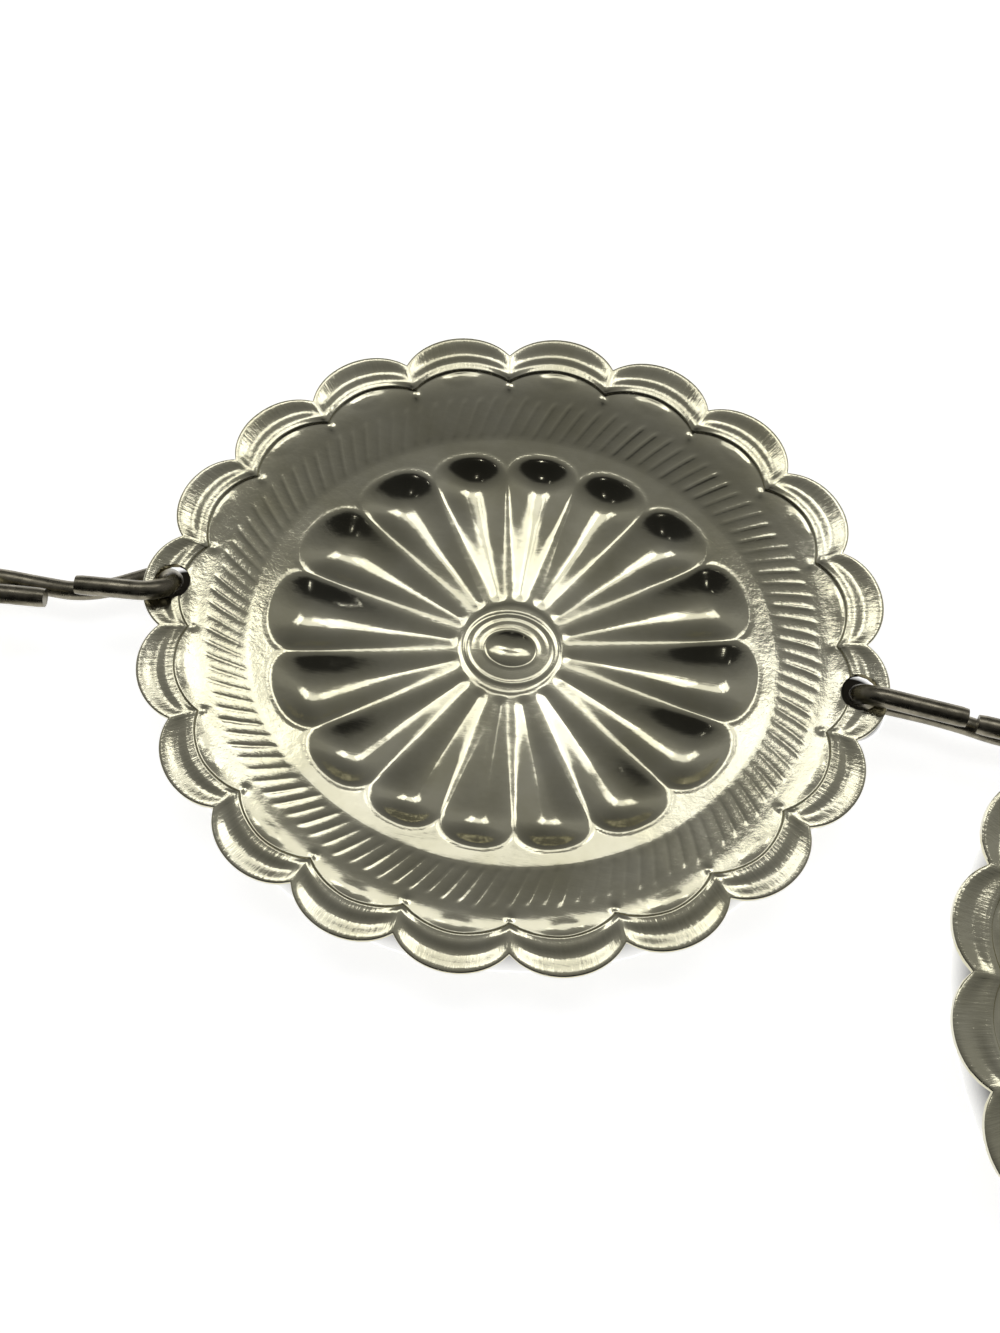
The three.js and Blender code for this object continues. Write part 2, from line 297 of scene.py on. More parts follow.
# Soft panels in an arch over the belt, and two small lamps: turns of the middle from straight up
# towards +X and towards +Y, width and height, all in degrees, and brightness
PANEL_ROWS = (
    ("left_inner", 12.5, 31.0, 9.0, 21.0, 4.9),
    ("left_outer", 21.3, 29.0, 9.2, 22.0, 4.6),
    ("right_inner", -15.5, 28.5, 8.0, 18.0, 4.6),
    ("right_outer", -24.3, 25.0, 10.2, 20.0, 4.6),
    ("middle", -1.5, 29.8, 18.0, 15.5, 2.9),
    ("lamp_behind", -2.0, -40.0, 1.6, 1.6, 30.0),
    ("lamp_aside", -24.0, -30.0, 1.3, 1.3, 14.0),
)
# The panels' distance from the middle that they face, in metres
PANEL_DISTANCE = 1.1
PANEL_MIDDLE = (0.0, 0.12, 0.0)

# Brightness of the surroundings, from -Y, 0, to +Y, 1
WORLD_STOPS = (
    (0.0, 0.012),
    (0.25, 0.02),
    (0.33, 0.12),
    (0.5, 0.18),
    (0.60, 0.24),
    (0.66, 0.28),
    (0.80, 0.26),
    (0.87, 0.18),
    (1.0, 0.10),
)

# White floor, and dark ovals over it that are painted shadow below the conchos and below the
# photographed one's holes
FLOOR_HALF = 4000.0
FLOOR_Z = -0.06
FLOOR_GLOW = 0.84
FLOOR_COLOUR = (0.85, 0.85, 0.85)
# Colour of the painted shadow under the conchos and holes
SHADE_COLOUR = (0.03, 0.025, 0.02)
SHADE_TURNS = 64
CONCHO_SHADE = {
    "half_length": HALF_LENGTH - 4.6,
    "half_width": HALF_WIDTH - 4.1,
    "border": 2.7,
    "z": -0.03,
}
HOLE_SHADE = {"half_length": 3.2, "half_width": 3.2, "border": 0.4, "z": 0.0}


def smooth(low, high, value):
    """Smooth rise from 0 at low to 1 at high."""
    share = np.clip((value - low) / (high - low), 0.0, 1.0)
    return share * share * (3.0 - 2.0 * share)


def bump(distance, half_width):
    """Rounded bump of height 1 that reaches zero at half_width."""
    share = np.clip(np.abs(distance) / half_width, 0.0, 1.0)
    return 0.5 + 0.5 * np.cos(math.pi * share)


def scallop_share(angle):
    """Scallop number and place across it, from -1 at one notch to 1 at the next."""
    step = 2 * math.pi / SCALLOPS
    number = np.round(angle / step)
    return number, np.clip((angle - number * step) / (step / 2), -1.0, 1.0)


def arc_share(across):
    """How far a scallop's round outline has drawn in, from 0 at its peak to 1 at a notch."""
    turn = np.arcsin(np.clip(across, -1, 1) * math.sin(SCALLOP_TURN))
    return (1 - np.cos(turn)) / (1 - math.cos(SCALLOP_TURN))


def outline_inset(across):
    """Inset of a scallop's outline from the outer oval."""
    return SCALLOP_RISE * arc_share(across)


def crest_inset(across):
    """Inset of the inner foot of a scallop's crest."""
    return CREST_INSET + (CREST_NOTCH_INSET - CREST_INSET) * arc_share(across) ** CREST_POWER


def oval_coordinates(x, y):
    """Inset from the outer oval and oval angle of plan points."""
    low = np.full(x.shape, -1.0)
    high = np.full(x.shape, HALF_WIDTH - 1e-4)
    for _ in range(HALVINGS):
        middle = 0.5 * (low + high)
        value = (x / (HALF_LENGTH - middle)) ** 2 + (y / (HALF_WIDTH - middle)) ** 2
        inside = value < 1
        low = np.where(inside, middle, low)
        high = np.where(inside, high, middle)
    inset = 0.5 * (low + high)
    return inset, np.arctan2(y / (HALF_WIDTH - inset), x / (HALF_LENGTH - inset))


def bowl(inset):
    """Height of the bowl without its relief."""
    return np.interp(inset, BOWL_INSETS, BOWL_HEIGHTS)


def rim_relief(inset, across):
    """Flange, soft crescent groove and crest of each scallop, with a sharp step inside it."""
    outer = outline_inset(across)
    share = (inset - outer) / (crest_inset(across) - outer)
    strength = 1.0 - np.abs(across) ** GROOVE_POWER
    groove = GROOVE_RISE * smooth(*GROOVE_CLIMB, share) - GROOVE_DEPTH * smooth(*GROOVE_FALL, share)
    relief = groove * strength * (1 - smooth(*GROOVE_FADE, share))
    relief = relief - CREST_FALL * smooth(*CREST_SPAN, share) - CREST_STEP * smooth(*STEP_SPAN, share)
    edge = np.clip(1.0 - share / EDGE_SPAN, 0.0, 1.0)
    return relief - EDGE_DROP * edge ** 2


def dots(x, y):
    """Low raised dots inside the notches."""
    step = 2 * math.pi / SCALLOPS
    height = np.zeros(x.shape)
    for k in range(SCALLOPS):
        angle = (k + 0.5) * step
        cx = (HALF_LENGTH - DOT_INSET) * math.cos(angle)
        cy = (HALF_WIDTH - DOT_INSET) * math.sin(angle)
        height += DOT_HEIGHT * bump(np.hypot(x - cx, y - cy), DOT_RADIUS)
    return height


def lenses(inset, across, angle):
    """Soft oval swelling inside each crest, a little hollow in its middle."""
    half_chord = (math.pi / SCALLOPS) * np.hypot(
        (HALF_LENGTH - LENS_INSET) * np.sin(angle), (HALF_WIDTH - LENS_INSET) * np.cos(angle))
    size = (across * half_chord / LENS_HALF[0]) ** 2 + ((inset - LENS_INSET) / LENS_HALF[1]) ** 2
    swelling = LENS_HEIGHT * np.clip(1 - size, 0, 1) ** LENS_POWER
    return swelling - DENT_DEPTH * np.clip(1 - DENT_STEEPNESS * size, 0, 1)


def ray_drift(inset):
    """How far round the concho a slanted ray has turned at an inset."""
    return RAY_SLANT * (inset - RAY_MIDDLE) / (RAY_INNER - RAY_OUTER)


def rays(inset, angle):
    """Slanted raised bars, rounded at both ends."""
    step = 2 * math.pi / RAYS
    phase = (angle - ray_drift(inset) - math.pi / SCALLOPS) / step
    jitter = RAY_JITTER[np.floor(phase).astype(int) % RAYS]
    across = phase - np.floor(phase) - 0.5
    spacing = step * np.hypot(
        (HALF_LENGTH - inset) * np.sin(angle), (HALF_WIDTH - inset) * np.cos(angle))
    before = RAY_OUTER + jitter[..., 0] + RAY_ROUND - inset
    after = inset - (RAY_INNER + jitter[..., 1]) + RAY_ROUND
    beyond = np.clip(np.maximum(before, after), 0, None)
    distance = np.hypot(across * spacing, beyond)
    fade = 1 - RAY_FADE * smooth(RAY_FADE_START, RAY_INNER, inset)
    return RAY_HEIGHT * jitter[..., 2] * fade * bump(distance, RAY_HALF_WIDTH)


def petals(x, y, inset):
    """Scooped petals, round at the outer end and narrow at the boss."""
    radius = np.hypot(x, y)
    step = 2 * math.pi / PETALS
    angle = np.arctan2(y, x)
    away = angle - np.round(angle / step) * step
    heel_share = np.hypot(x / HEEL_HALF[0], y / HEEL_HALF[1])
    from_heel = radius * (1 - 1 / np.maximum(heel_share, 1e-3))
    outward = smooth(0.0, PETAL_LENGTH, from_heel)
    half = np.maximum(radius * math.tan(step / 2) - PETAL_GAP, LEAST_HALF_WIDTH)
    across = radius * np.tan(np.clip(np.abs(away), 0, step / 2)) / half
    tip = np.clip((PETAL_WIDEST - inset) / (PETAL_WIDEST - PETAL_TIP), 0, 3)
    tip = (np.sqrt(tip ** 2 + TIP_ROUND ** 2) - TIP_ROUND) / (math.hypot(1, TIP_ROUND) - TIP_ROUND)
    heel = np.clip((HEEL_LENGTH - from_heel) / HEEL_LENGTH, 0, 3)
    share = (across ** PETAL_POWER + tip ** PETAL_POWER + heel ** PETAL_POWER) ** (1 / PETAL_POWER)
    depth = HEEL_DEPTH + (PETAL_DEPTH - HEEL_DEPTH) * outward
    depth = depth + SPOON_DEPTH * smooth(*SPOON_SPAN, from_heel)
    keel = KEEL_ROUND + KEEL_WIDENING * smooth(*KEEL_SPAN, from_heel)
    steepness = 1 + WALL_CURVE * outward
    wall = ((np.hypot(share, keel) - keel) / (np.hypot(1, keel) - keel)) ** steepness
    scoop = np.clip(1 - wall, 0, None)
    brow = np.clip(BROW_WIDTH / half, *BROW_LIMITS)
    moat = MOAT_DEPTH * (1 - smooth(*MOAT_EDGE, heel_share))
    lip = LIP_HEIGHT * bump(share - LIP_PLACE, LIP_HALF_WIDTH) * smooth(*LIP_SPAN, from_heel)
    return lip - depth * (np.sqrt(scoop ** 2 + brow ** 2) - brow) - moat


def thin_ring(name, size):
    """Thin raised ring of the boss or its eye, where size is a share of its half size."""
    row = RING_ROWS[name]
    return row["height"] * bump(size - row["place"], row["half_width"])


def boss(x, y):
    """Low oval dome with thin raised rings, round a scooped eye with a faint bar along it."""
    size = np.hypot(x / BOSS_HALF[0], y / BOSS_HALF[1])
    eye = np.hypot(x / EYE_HALF[0], y / EYE_HALF[1])
    height = BOSS_DOME * (1 - np.clip(size, 0, 1) ** 4) + thin_ring("boss_edge", size)
    height += thin_ring("upper_arc", size) * smooth(*ARC_SPAN, y / BOSS_HALF[1])
    height += thin_ring("eye_edge", eye)
    height -= EYE_DEPTH * np.clip(1 - np.clip(eye / EYE_SCOOP, 0, 1) ** 2, 0, 1)
    bar = np.exp(-((y - BAR_MIDDLE) / BAR_HALF[1]) ** 2) * np.clip(1 - (x / BAR_HALF[0]) ** 2, 0, 1)
    return height + BAR_HEIGHT * bar


def concho_height(x, y, seed):
    """Height of the sheet over its plan, with the sheet's slight unevenness."""
    inset, angle = oval_coordinates(x, y)
    _, across = scallop_share(angle)
    height = bowl(inset) + rim_relief(inset, across) + dots(x, y) + lenses(inset, across, angle)
    height = height + rays(inset, angle) + petals(x, y, inset) + boss(x, y)
    waves = np.zeros(x.shape)
    rng = np.random.default_rng(seed)
    for wavelength, size in WAVE_ROWS:
        for _ in range(WAVES_EACH):
            turn, shift = rng.uniform(0, 2 * math.pi, 2)
            place = x * math.cos(turn) + y * math.sin(turn)
            waves += size / WAVE_DIVISOR * np.sin(2 * math.pi / wavelength * place + shift)
    return height + waves


def ring_rows(kind):
    """Rows of a face from the outline in: what each follows, and its place."""
    gap = kind["gap"]
    rows = [("rim", share) for share in kind["rim"]]
    rows += [("shoulder", share) for share in kind["shoulder"]]
    for start, end, spacing in (
        (FIELD_START + FIRST_RAY_GAP, LAND_START, gap * RAY_GAP_SHARE),
        (LAND_START, PETAL_WIDEST, gap),
        (PETAL_WIDEST, INNER_START, gap * INNER_GAP_SHARE),
    ):
        rows += [("inset", inset) for inset in np.arange(start, end, spacing)]
    return rows


def grid_points(kind):
    """Plan points of the outer rows, in which the columns follow the slanted rays."""
    spots = np.array(kind["across_ray"])
    per_ray = len(spots)
    columns = RAYS * per_ray
    step = 2 * math.pi / columns
    index = np.arange(columns)
    even = math.pi / SCALLOPS + index * step
    shift = (spots[index % per_ray] - (index % per_ray) / per_ray) * step * per_ray
    _, across = scallop_share(even)
    crest = crest_inset(across)
    points = []
    for follows, value in ring_rows(kind):
        if follows == "rim":
            inset = outline_inset(across) * (1 - value) + crest * value
            angle = even
        elif follows == "shoulder":
            inset = crest + (FIELD_START - crest) * value
            angle = even + (shift + ray_drift(FIELD_START)) * value
        else:
            inset = np.full(columns, float(value))
            fade = 1 - smooth(LAND_START, PETAL_WIDEST, value)
            angle = even + (shift + ray_drift(min(value, LAND_START))) * fade
        points.append(np.stack([
            (HALF_LENGTH - inset) * np.cos(angle), (HALF_WIDTH - inset) * np.sin(angle)], axis=-1))
    return points


def inner_points(last, kind):
    """Plan points of the rows from the petals' middle to the centre of the eye."""
    start = last[::2]
    angle = np.arctan2(
        start[:, 1] / (HALF_WIDTH - INNER_START), start[:, 0] / (HALF_LENGTH - INNER_START))
    boss_edge = BOSS_HALF * np.stack([np.cos(angle), np.sin(angle)], axis=-1)
    rows = []
    for share in np.linspace(0, 1, kind["to_boss"])[1:]:
        rows.append(start * (1 - share) + BOSS_SURROUND * boss_edge * share)
    for size in np.linspace(BOSS_SURROUND, EYE_MIDDLE, kind["boss"])[1:]:
        rows.append(size * boss_edge)
    return rows


def stitch(outer, inner, plan, centre=(0.0, 0.0)):
    """Triangles between two closed rings of vertex numbers, each in order of its angle."""
    def turns(ring):
        away = plan[ring] - np.array(centre)
        angle = np.unwrap(np.arctan2(away[:, 1], away[:, 0]))
        return np.append(angle, angle[0] + 2 * math.pi)

    outer_turns = turns(outer)
    inner_turns = turns(inner)
    laps = np.round((inner_turns[0] - outer_turns[0]) / (2 * math.pi))
    inner_turns = inner_turns - 2 * math.pi * laps
    i = 0
    j = 0
    faces = []
    while i < len(outer) or j < len(inner):
        outer_vertex = outer[i % len(outer)]
        inner_vertex = inner[j % len(inner)]
        if j >= len(inner) or (i < len(outer) and outer_turns[i + 1] <= inner_turns[j + 1]):
            i += 1
            faces.append((outer_vertex, outer[i % len(outer)], inner_vertex))
        else:
            j += 1
            faces.append((outer_vertex, inner[j % len(inner)], inner_vertex))
    return faces


def punch(points, faces, side):
    """Cuts a round hole at one end: edge vertices move out to its circle. Returns the rest."""
    away = points[:, :2] - np.array([side * HOLE_X, 0.0])
    near = np.hypot(away[:, 0], away[:, 1])
    inside = near < HOLE_RADIUS
    kept = []
    moved = set()
    for face in faces:
        marks = [inside[v] for v in face]
        if all(marks):
            continue
        kept.append(face)
        moved.update(v for v, mark in zip(face, marks) if mark)
    for v in moved:
        points[v, :2] = np.array([side * HOLE_X, 0.0]) + away[v] * (HOLE_RADIUS / near[v])
    return kept, moved


def hole_ring(points, faces, moved, side):
    """Vertices round a punched hole, in order of their angle."""
    use = {}
    for face in faces:
        for v, w in zip(face, face[1:] + face[:1]):
            if v in moved and w in moved:
                key = (min(v, w), max(v, w))
                use[key] = use.get(key, 0) + 1
    ring = {v for key, count in use.items() if count == 1 for v in key}
    ring = np.array(sorted(ring))
    away = points[ring, :2] - np.array([side * HOLE_X, 0.0])
    return ring[np.argsort(np.arctan2(away[:, 1], away[:, 0]))]


def sheet_face(kind, seed, drop):
    """One face of a stamped sheet: its points, its faces and its outline ring."""
    plans = grid_points(kind)
    outline = np.arange(len(plans[0]))
    plans += inner_points(plans[-1], kind)
    plan = np.concatenate(plans)
    height = concho_height(plan[:, 0], plan[:, 1], seed) - drop
    points = np.column_stack([plan, height])
    faces = []
    starts = np.cumsum([0] + [len(p) for p in plans])
    for k in range(len(plans) - 1):
        outer, outer_count = starts[k], len(plans[k])
        inner, inner_count = starts[k + 1], len(plans[k + 1])
        for j in range(inner_count):
            after = (j + 1) % inner_count
            if outer_count == inner_count:
                faces.append((outer + j, outer + after, inner + after, inner + j))
                continue
            middle = outer + 2 * j + 1
            right = outer + (2 * j + 2) % outer_count
            faces.append((outer + 2 * j, middle, inner + j))
            faces.append((middle, inner + after, inner + j))
            faces.append((middle, right, inner + after))
    faces.append(tuple(range(starts[-2], starts[-1])))
    faces = [tuple(int(v) for v in face) for face in faces]
    return points, faces, outline


def concho_mesh(name, top_kind, seed):
    """Closed mesh of one stamped sheet with two punched holes, its lowest point at -RIM_TOP."""
    top = sheet_face(FACE_KINDS[top_kind], seed, 0.0)
    under = sheet_face(FACE_KINDS["under"], seed, SHEET)
    under_start = len(top[0])
    faces = []
    rings = {}
    for (points, part_faces, _), start in ((top, 0), (under, under_start)):
        for side in (-1, 1):
            part_faces, moved = punch(points, part_faces, side)
            rings[(start, side)] = hole_ring(points, part_faces, moved, side) + start
        for face in part_faces:
            face = tuple(v + start for v in face)
            faces.append(face[::-1] if start else face)
    points = np.concatenate([top[0], under[0]])
    plan = points[:, :2]
    faces += [face[::-1] for face in stitch(top[2], under[2] + under_start, plan)]
    for side in (-1, 1):
        faces += stitch(rings[(0, side)], rings[(under_start, side)], plan, (side * HOLE_X, 0.0))
    points[:, 2] -= points[:, 2].min() + RIM_TOP
    return mesh_of(name, points, faces)


def mark_rings(mesh):
    """Stores where each vertex of a concho lies round it, for marks that follow its rings."""
    points = np.empty(len(mesh.vertices) * 3)
    mesh.vertices.foreach_get("co", points)
    points = points.reshape(-1, 3) / MM
    inset, angle = oval_coordinates(points[:, 0], points[:, 1])
    _, across = scallop_share(angle)
    share = (inset - outline_inset(across)) / (crest_inset(across) - outline_inset(across))
    place = np.stack([HALF_LENGTH * np.cos(angle), HALF_LENGTH * np.sin(angle), inset], axis=-1)
    ring = mesh.attributes.new("ring_place", "FLOAT_VECTOR", "POINT")
    ring.data.foreach_set("vector", (place * MM).ravel())
    rim = 1 - smooth(*RIM_MARK_FADE, share)
    ends = smooth(*END_MARK_SPAN, np.abs(np.cos(angle))) * (1 - smooth(*END_MARK_FADE, inset))
    for name, value in (("rim_share", rim), ("end_share", ends)):
        layer = mesh.attributes.new(name, "FLOAT", "POINT")
        layer.data.foreach_set("value", value)


def mesh_of(name, points, faces):
    """Smooth Blender mesh from points in millimetres, without its loose vertices."""
    used = np.unique(np.fromiter((v for face in faces for v in face), dtype=np.int64))
    number = np.full(len(points), -1)
    number[used] = np.arange(len(used))
    mesh = bpy.data.meshes.new(name)
    mesh.from_pydata((points[used] * MM).tolist(), [], [[int(number[v]) for v in f] for f in faces])
    mesh.validate()
    mesh.polygons.foreach_set("use_smooth", [True] * len(mesh.polygons))
    mesh.set_sharp_from_angle(angle=SHARP_ANGLE)
    mesh.update()
    return mesh


def smooth_path(points):
    """Curve through the points, by Catmull-Rom spans."""
    points = np.array(points, float)
    padded = np.vstack([2 * points[0] - points[1], points, 2 * points[-1] - points[-2]])
    path = []
    for before, start, end, after in zip(padded, padded[1:], padded[2:], padded[3:]):
        for step in range(PATH_STEPS):
            t = step / PATH_STEPS
            linear = (end - before) * t
            square = (2 * before - 5 * start + 4 * end - after) * t ** 2
            cube = (3 * start - before - 3 * end + after) * t ** 3
            path.append(0.5 * (2 * start + linear + square + cube))
    path.append(points[-1])
    return np.array(path)


def wire_mesh(name, path, seed):
    """Round wire along a path, with square-cut ends and a few shallow nicks."""
    rng = np.random.default_rng(seed)
    tangent = np.gradient(path, axis=0)
    tangent /= np.linalg.norm(tangent, axis=1)[:, None]
    side = np.cross(tangent[0], (0.0, 0.0, 1.0))
    side = side if np.linalg.norm(side) > 1e-3 else np.cross(tangent[0], (0.0, 1.0, 0.0))
    length = np.concatenate([[0.0], np.cumsum(np.linalg.norm(np.diff(path, axis=0), axis=1))])
    nicks = []
    for _ in range(NICKS):
        place = rng.uniform(0, length[-1])
        around = rng.uniform(0, 2 * math.pi)
        nicks.append((place, around, rng.uniform(*NICK_DEPTH)))
    turn = np.arange(WIRE_SIDES) * 2 * math.pi / WIRE_SIDES
    rows = []
    for k, (point, along) in enumerate(zip(path, tangent)):
        side = side - along * np.dot(side, along)
        side /= np.linalg.norm(side)
        other = np.cross(along, side)
        radius = np.full(WIRE_SIDES, WIRE_RADIUS)
        for place, around, deep in nicks:
            away = (turn - around + math.pi) % (2 * math.pi) - math.pi
            around_share = away * WIRE_RADIUS / NICK_HALF["around"]
            along_share = (length[k] - place) / NICK_HALF["along"]
            radius -= deep * bump(np.hypot(around_share, along_share), 1.0)
        across = np.outer(radius * np.cos(turn), side)
        rows.append(point + across + np.outer(radius * np.sin(turn), other))
    for row in (0, -1):
        rows[row] = path[row] + (rows[row] - path[row]) * WIRE_END
    faces = []
    for k in range(len(rows) - 1):
        here = k * WIRE_SIDES
        ahead = here + WIRE_SIDES
        for j in range(WIRE_SIDES):
            after = (j + 1) % WIRE_SIDES
            faces.append((here + j, here + after, ahead + after, ahead + j))
    faces.append(tuple(range(WIRE_SIDES))[::-1])
    last = (len(rows) - 1) * WIRE_SIDES
    faces.append(tuple(range(last, last + WIRE_SIDES)))
    return mesh_of(name, np.concatenate(rows), faces)


def eye_bend(centre_x, side, from_top):
    """Half circle of wire round a hole."""
    start = 90 if from_top else -90
    points = []
    for turn in np.radians(np.linspace(start, -start, BEND_POINTS)):
        x = centre_x + side * EYE_RADIUS * math.cos(turn)
        points.append((x, 0.0, EYE_RADIUS * math.sin(turn)))
    return points


def link_path(pitch, row):
    """Oval link split in its upper strand. The cuts are distances from its first hole."""
    middle = pitch / 2
    twist = row["twist"]
    end_height = EYE_RADIUS - row["droop"]
    bend_height = EYE_RADIUS - BEND_DROP
    points = [
        (row["first_cut"], twist / 2, end_height),
        (BEND_PLACE * row["first_cut"], BEND_TWIST * twist, bend_height),
    ]
    points += eye_bend(EYE_RADIUS, -1, True)
    side_bow = LOWER_BOW * row["bow"]
    side_height = row["pinch"] * LOWER_PINCH - EYE_RADIUS
    points += [
        (middle - LOWER_SIDE, LOWER_SWAY - side_bow, side_height),
        (middle, -row["bow"], row["pinch"] - EYE_RADIUS),
        (middle + LOWER_SIDE, -LOWER_SWAY - side_bow, side_height),
    ]
    points += eye_bend(pitch - EYE_RADIUS, 1, False)
    points += [
        (pitch - BEND_PLACE * (pitch - row["second_cut"]), -BEND_TWIST * twist, bend_height),
        (row["second_cut"], -twist / 2, end_height),
    ]
    return smooth_path(points)


def hook_path(pitch):
    """Hook with a closed eye at its first end and a flared tip over its second."""
    points = [(pitch * share, 0.0, EYE_RADIUS - drop) for share, drop in (HOOK_END, HOOK_BEND)]
    points += eye_bend(EYE_RADIUS, -1, True)
    points += [(pitch * 0.5, 0.0, -EYE_RADIUS)]
    points += eye_bend(pitch - EYE_RADIUS, 1, False)
    points += [
        (pitch - HOOK_LIP, 0.0, EYE_RADIUS),
        (pitch - HOOK_TIP[0], 0.0, EYE_RADIUS + HOOK_TIP[1]),
    ]
    return smooth_path(points)


def node_place(name):
    """Plan middle and heading of a concho's solid. The heading follows the belt round."""
    corners = np.array([v.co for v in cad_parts[name].data.vertices]) / MM
    flat = np.unique(np.round(corners[:, :2], 3), axis=0)
    middle = flat.mean(axis=0)
    _, vectors = np.linalg.eigh(np.cov((flat - middle).T))
    along = vectors[:, 1]
    clockwise = np.array([middle[1], -middle[0]])
    return middle, along if along @ clockwise > 0 else -along


def noise(tree, vector, scale, detail, roughness=0.6):
    """Value of a noise texture, with its scale for a metre."""
    node = tree.nodes.new("ShaderNodeTexNoise")
    node.inputs["Scale"].default_value = scale
    node.inputs["Detail"].default_value = detail
    node.inputs["Roughness"].default_value = roughness
    tree.links.new(vector, node.inputs["Vector"])
    return node.outputs["Fac"]


def ramp(tree, value, colours, positions=(0.0, 1.0)):
    """Colour that a value picks between two, from one position to the other."""
    node = tree.nodes.new("ShaderNodeValToRGB")
    for element, position, colour in zip(node.color_ramp.elements, positions, colours):
        element.position = position
        element.color = (*colour, 1.0)
    tree.links.new(value, node.inputs["Fac"])
    return node.outputs["Color"]


def grey_ramp(tree, value, greys, positions=(0.0, 1.0)):
    """Number that a value picks between two, from one position to the other."""
    return ramp(tree, value, [(grey, grey, grey) for grey in greys], positions)


def bump_node(tree, height, distance, strength, normal=None):
    """Normal bumped by a height, whose distance is in millimetres."""
    node = tree.nodes.new("ShaderNodeBump")
    node.inputs["Distance"].default_value = distance * MM
    node.inputs["Strength"].default_value = strength
    tree.links.new(height, node.inputs["Height"])
    if normal is not None:
        tree.links.new(normal, node.inputs["Normal"])
    return node.outputs["Normal"]


def attribute(tree, name, socket):
    """Socket of one of the mesh's stored attributes."""
    node = tree.nodes.new("ShaderNodeAttribute")
    node.attribute_name = name
    return node.outputs[socket]


def times(tree, first, second):
    """Product of two values."""
    node = tree.nodes.new("ShaderNodeMath")
    node.operation = "MULTIPLY"
    tree.links.new(first, node.inputs[0])
    tree.links.new(second, node.inputs[1])
    return node.outputs["Value"]


def stretched(tree, vector, stretch, turn=0.0):
    """Coordinates multiplied along each axis, then turned about Z."""
    mapping = tree.nodes.new("ShaderNodeMapping")
    mapping.inputs["Scale"].default_value = stretch
    mapping.inputs["Rotation"].default_value = (0.0, 0.0, turn)
    tree.links.new(vector, mapping.inputs["Vector"])
    return mapping.outputs["Vector"]


def new_material(name, metallic):
    """New material with its node tree, its shader and the object's own coordinates."""
    material = bpy.data.materials.new(name)
    material.use_nodes = True
    tree = material.node_tree
    shader = tree.nodes["Principled BSDF"]
    shader.inputs["Metallic"].default_value = metallic
    return material, tree, shader, tree.nodes.new("ShaderNodeTexCoord").outputs["Object"]


def concho_material():
    """Polished nickel silver: uneven tint, fine scratches, nicks across the rim, worn ends."""
    material, tree, shader, place = new_material("concho_metal", 1.0)
    stains = noise(tree, place, scale=110, detail=6)
    tree.links.new(ramp(tree, stains, SILVER_TINTS, (0.3, 0.7)), shader.inputs["Base Color"])
    dulling = noise(tree, place, scale=140, detail=6)
    rough = grey_ramp(tree, dulling, SILVER_ROUGHNESS, (0.3, 0.75))
    tree.links.new(rough, shader.inputs["Roughness"])
    waves = bump_node(tree, noise(tree, place, scale=420, detail=2), distance=0.06, strength=0.5)
    ring = stretched(tree, attribute(tree, "ring_place", "Vector"), NICK_STRETCH)
    nicks = times(tree, noise(tree, ring, scale=2600, detail=3), attribute(tree, "rim_share", "Fac"))
    nicked = bump_node(tree, nicks, distance=0.03, strength=0.9, normal=waves)
    specks = noise(tree, place, scale=1900, detail=3, roughness=0.7)
    specks = times(tree, specks, attribute(tree, "end_share", "Fac"))
    worn = bump_node(tree, specks, distance=0.028, strength=0.9, normal=nicked)
    aslant = stretched(tree, place, SCRATCH_STRETCH, SCRATCH_TURN)
    scratches = noise(tree, aslant, scale=500, detail=2)
    fine = bump_node(tree, scratches, distance=0.01, strength=0.35, normal=worn)
    tree.links.new(fine, shader.inputs["Normal"])
    return material


def wire_material():
    """Dark round wire with drawing lines and small worn spots."""
    material, tree, shader, place = new_material("link_wire", 1.0)
    spots = noise(tree, place, scale=700, detail=5)
    tree.links.new(ramp(tree, spots, WIRE_TINTS, (0.35, 0.7)), shader.inputs["Base Color"])
    dulling = noise(tree, place, scale=900, detail=4)
    rough = grey_ramp(tree, dulling, WIRE_ROUGHNESS, (0.3, 0.75))
    tree.links.new(rough, shader.inputs["Roughness"])
    lines = noise(tree, stretched(tree, place, DRAWING_STRETCH), scale=900, detail=3)
    tree.links.new(bump_node(tree, lines, distance=0.06, strength=0.5), shader.inputs["Normal"])
    return material


def add_piece(name, mesh, material, matrix, node):
    """Lays a copy of a mesh in the place of a node of the frame."""
    laid = mesh.copy()
    laid.name = name
    laid.transform(matrix)
    laid.materials.append(material)
    piece = bpy.data.objects.new(name, laid)
    bpy.context.scene.collection.objects.link(piece)
    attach(piece, "root")
    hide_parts(node)


def placed(x, y, z, heading, roll=0.0):
    """Matrix for a place, a heading about Z and a roll about the piece's own X axis."""
    turn = Matrix.Rotation(heading, 4, "Z") @ Matrix.Rotation(roll, 4, "X")
    return Matrix.Translation(Vector((x, y, z)) * MM) @ turn


